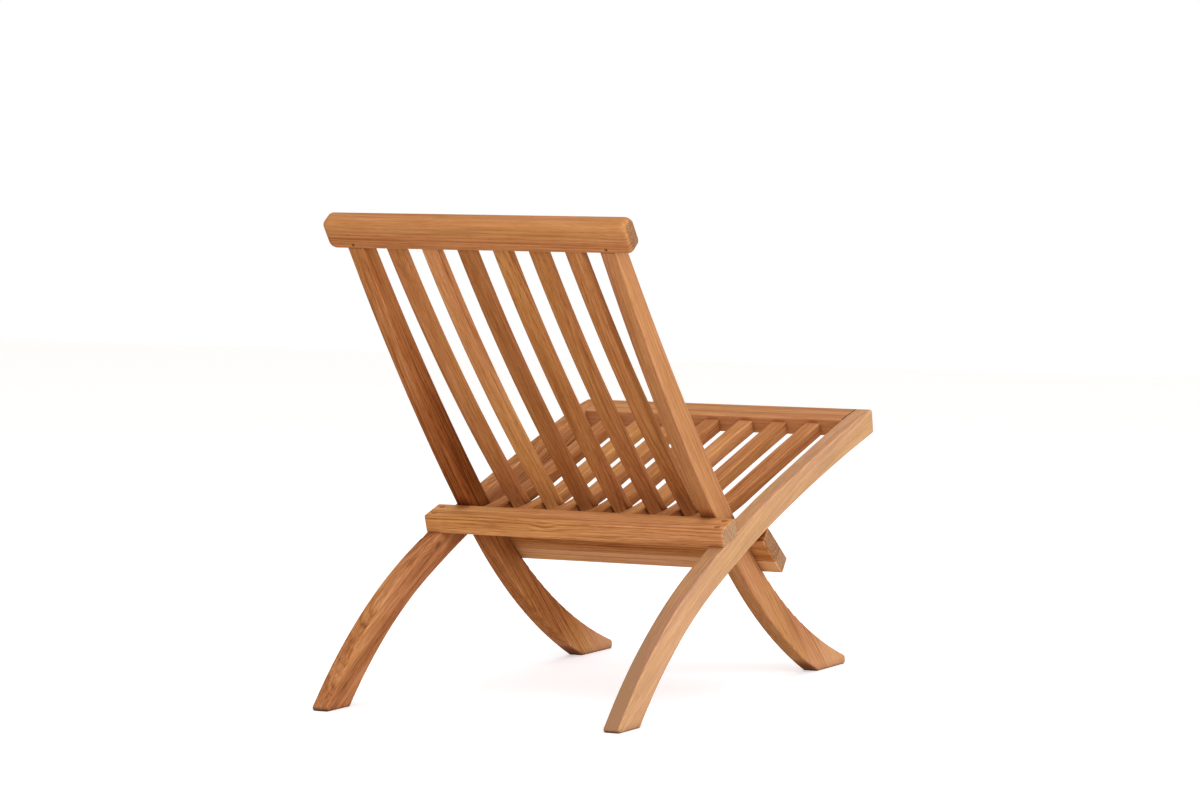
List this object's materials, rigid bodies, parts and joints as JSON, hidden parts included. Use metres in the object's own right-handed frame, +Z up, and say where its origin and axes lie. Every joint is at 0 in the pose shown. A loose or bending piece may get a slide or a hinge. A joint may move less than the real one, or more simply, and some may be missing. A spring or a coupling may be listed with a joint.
{
  "type": "folding chair",
  "caption": "Low wooden folding chair whose curved, slatted seat and back frames cross at side pivots and open onto stops, with a top rail across the back.",
  "frame": {"origin": "on the floor, under the middle of the open chair's box", "axes": "+Z up, -Y to the front of the chair, X along the crossbars; a sitter's left side is +X"},
  "size_m": [0.5, 0.87, 0.7202],
  "materials": {
    "teak": "sanded, unfinished teak with a straight grain along each piece",
    "teak_plug": "sanded teak plugs and pins, end grain outwards",
    "stainless_steel": "brushed",
    "brass": "turned"
  },
  "bodies": {
    "seat_frame": {"front_rail": "teak", "pivot_bolt_left": "stainless_steel", "pivot_bolt_right": "stainless_steel", "pivot_insert_left": "brass", "pivot_insert_right": "brass", "pivot_washer_left": "stainless_steel", "pivot_washer_right": "stainless_steel", "rear_bar": "teak", "rear_bar_plugs": "teak_plug", "rear_bar_screws": "stainless_steel", "seat_slat_1": "teak", "seat_slat_2": "teak", "seat_slat_3": "teak", "seat_slat_4": "teak", "seat_slat_5": "teak", "seat_slat_6": "teak", "seat_slat_7": "teak", "side_rail_left": "teak", "side_rail_right": "teak"},
    "back_frame": {"back_slat_1": "teak", "back_slat_2": "teak", "back_slat_3": "teak", "back_slat_4": "teak", "back_slat_5": "teak", "back_slat_6": "teak", "crest_pins": "teak_plug", "crest_rail": "teak", "lower_bar": "teak", "lower_bar_plugs": "teak_plug", "lower_bar_screws": "stainless_steel", "stile_left": "teak", "stile_right": "teak"}
  },
  "joints": [
    {"name": "fold", "type": "hinge", "parent": "seat_frame", "child": "back_frame", "pos_m": [0, 0.00787, 0.24414], "axis": [1, 0, 0], "range_deg": [0, 104.5]}
  ]
}
